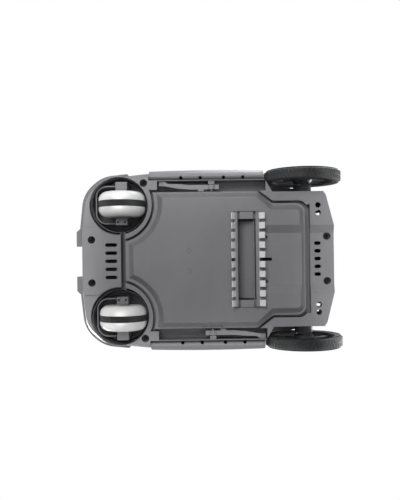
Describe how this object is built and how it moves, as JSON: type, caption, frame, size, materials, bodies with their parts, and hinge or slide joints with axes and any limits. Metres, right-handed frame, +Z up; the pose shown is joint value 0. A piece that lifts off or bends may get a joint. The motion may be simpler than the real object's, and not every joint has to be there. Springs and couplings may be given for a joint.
{
  "type": "robotic pool cleaner",
  "caption": "Cordless robotic pool vacuum with swivelling front wheels, large drive wheels, a drop-out bottom lid with a flapped suction mouth, side locking levers and a carry handle.",
  "frame": {"origin": "on the floor under the middle of the body's length and width", "axes": "+Z up, -Y towards the front with the swivelling wheels, +X towards the machine's right side when seen from above with the front at the bottom"},
  "size_m": [0.2924, 0.4305, 0.211],
  "materials": {
    "shell_grey": "fine moulded texture",
    "lid_grey": "fine moulded texture",
    "trim_grey": "satin",
    "dark_plastic": "satin",
    "bumper_rubber": "matt",
    "seal_rubber": "matt",
    "tyre_rubber": "matt",
    "white_plastic": "gloss",
    "flap_white": "matt",
    "fork_grey": "satin",
    "steel": "brushed",
    "screw_black": "brushed",
    "bush_plastic": "smooth",
    "mesh_fabric": "fine mesh",
    "foam": "foam",
    "impeller_plastic": "smooth",
    "button_white": "gloss",
    "light_window": "clear",
    "ears_grey": "satin",
    "contact_brass": "polished"
  },
  "bodies": {
    "chassis": {"lower_chassis": "shell_grey", "upper_shell": "shell_grey", "skirt_right": "trim_grey", "skirt_left": "trim_grey", "bumper_right": "bumper_rubber", "bumper_left": "bumper_rubber", "lid_seal": "seal_rubber", "lever_pins": "steel", "swivel_bushes": "bush_plastic", "drive_motor_right": "dark_plastic", "drive_motor_left": "dark_plastic", "axle_bushes": "bush_plastic", "arch_liners": "dark_plastic", "pump_motor": "dark_plastic", "pump_tube": "dark_plastic", "outlet_grille": "trim_grey", "battery_pack": "dark_plastic", "control_box": "dark_plastic", "floats": "foam", "handle_ears": "ears_grey", "handle_pins": "steel", "control_panel": "dark_plastic", "status_lights": "light_window", "chassis_screws": "screw_black", "charge_contacts": "contact_brass"},
    "lid": {"bottom_lid": "lid_grey", "mouth_liner": "trim_grey", "inlet_valve_pin": "steel", "filter_frame": "dark_plastic", "filter_mesh": "mesh_fabric"},
    "front_flap": {"front_flap_bar": "trim_grey", "front_flap_blade": "flap_white"},
    "rear_flap": {"rear_flap_bar": "trim_grey", "rear_flap_blade": "flap_white"},
    "valve": {"inlet_valve": "trim_grey"},
    "lever_r": {"lever_right": "trim_grey"},
    "lever_l": {"lever_left": "trim_grey"},
    "impeller_body": {"impeller": "impeller_plastic", "impeller_shaft": "steel"},
    "handle_body": {"handle": "trim_grey", "handle_grip": "bumper_rubber"},
    "button_body": {"power_button": "button_white"},
    "fork_right": {"caster_fork_right": "fork_grey", "caster_stem_right": "steel", "caster_axle_right": "steel"},
    "front_wheel_right": {"caster_wheel_right": "white_plastic", "caster_band_right": "tyre_rubber"},
    "drive_wheel_right": {"drive_tyre_right": "tyre_rubber", "drive_rim_right": "dark_plastic", "drive_cap_right": "dark_plastic", "drive_shaft_right": "steel"},
    "fork_left": {"caster_fork_left": "fork_grey", "caster_stem_left": "steel", "caster_axle_left": "steel"},
    "front_wheel_left": {"caster_wheel_left": "white_plastic", "caster_band_left": "tyre_rubber"},
    "drive_wheel_left": {"drive_tyre_left": "tyre_rubber", "drive_rim_left": "dark_plastic", "drive_cap_left": "dark_plastic", "drive_shaft_left": "steel"}
  },
  "joints": [
    {"name": "lid_drop", "type": "slide", "parent": "chassis", "child": "lid", "axis": [0, 0, -1], "range_m": [0, 0.06]},
    {"name": "front_flap_hinge", "type": "hinge", "parent": "lid", "child": "front_flap", "pos_m": [0, 0.0439, 0.016], "axis": [1, 0, 0], "range_deg": [-28, 58]},
    {"name": "rear_flap_hinge", "type": "hinge", "parent": "lid", "child": "rear_flap", "pos_m": [0, 0.0769, 0.016], "axis": [1, 0, 0], "range_deg": [-84, 6]},
    {"name": "inlet_valve_hinge", "type": "hinge", "parent": "lid", "child": "valve", "pos_m": [0, 0.0725, 0.028], "axis": [1, 0, 0], "range_deg": [-45, 0]},
    {"name": "lever_hinge_right", "type": "hinge", "parent": "chassis", "child": "lever_r", "pos_m": [0.1158, 0.0065, 0.037], "axis": [1, 0, 0], "range_deg": [0, 180]},
    {"name": "lever_hinge_left", "type": "hinge", "parent": "chassis", "child": "lever_l", "pos_m": [-0.1158, 0.0065, 0.037], "axis": [-1, 0, 0], "range_deg": [0, 180]},
    {"name": "impeller_spin", "type": "hinge", "parent": "chassis", "child": "impeller_body", "pos_m": [0, 0.02, 0.16], "axis": [0, 0, 1], "continuous": true},
    {"name": "handle_hinge", "type": "hinge", "parent": "chassis", "child": "handle_body", "pos_m": [0, 0.052, 0.189], "axis": [-1, 0, 0], "range_deg": [0, 95]},
    {"name": "button_press", "type": "slide", "parent": "chassis", "child": "button_body", "axis": [0, 0, -1], "range_m": [0, 0.0015], "stiffness_N_per_m": 900},
    {"name": "caster_swivel_right", "type": "hinge", "parent": "chassis", "child": "fork_right", "pos_m": [0.09, -0.141, 0.09], "axis": [0, 0, 1], "continuous": true},
    {"name": "front_wheel_spin_right", "type": "hinge", "parent": "fork_right", "child": "front_wheel_right", "pos_m": [0.09, -0.136, 0.037], "axis": [1, 0, 0], "continuous": true},
    {"name": "drive_wheel_spin_right", "type": "hinge", "parent": "chassis", "child": "drive_wheel_right", "pos_m": [0.133, 0.155, 0.062], "axis": [1, 0, 0], "continuous": true},
    {"name": "caster_swivel_left", "type": "hinge", "parent": "chassis", "child": "fork_left", "pos_m": [-0.09, -0.141, 0.09], "axis": [0, 0, 1], "continuous": true},
    {"name": "front_wheel_spin_left", "type": "hinge", "parent": "fork_left", "child": "front_wheel_left", "pos_m": [-0.09, -0.136, 0.037], "axis": [1, 0, 0], "continuous": true},
    {"name": "drive_wheel_spin_left", "type": "hinge", "parent": "chassis", "child": "drive_wheel_left", "pos_m": [-0.133, 0.155, 0.062], "axis": [1, 0, 0], "continuous": true}
  ]
}
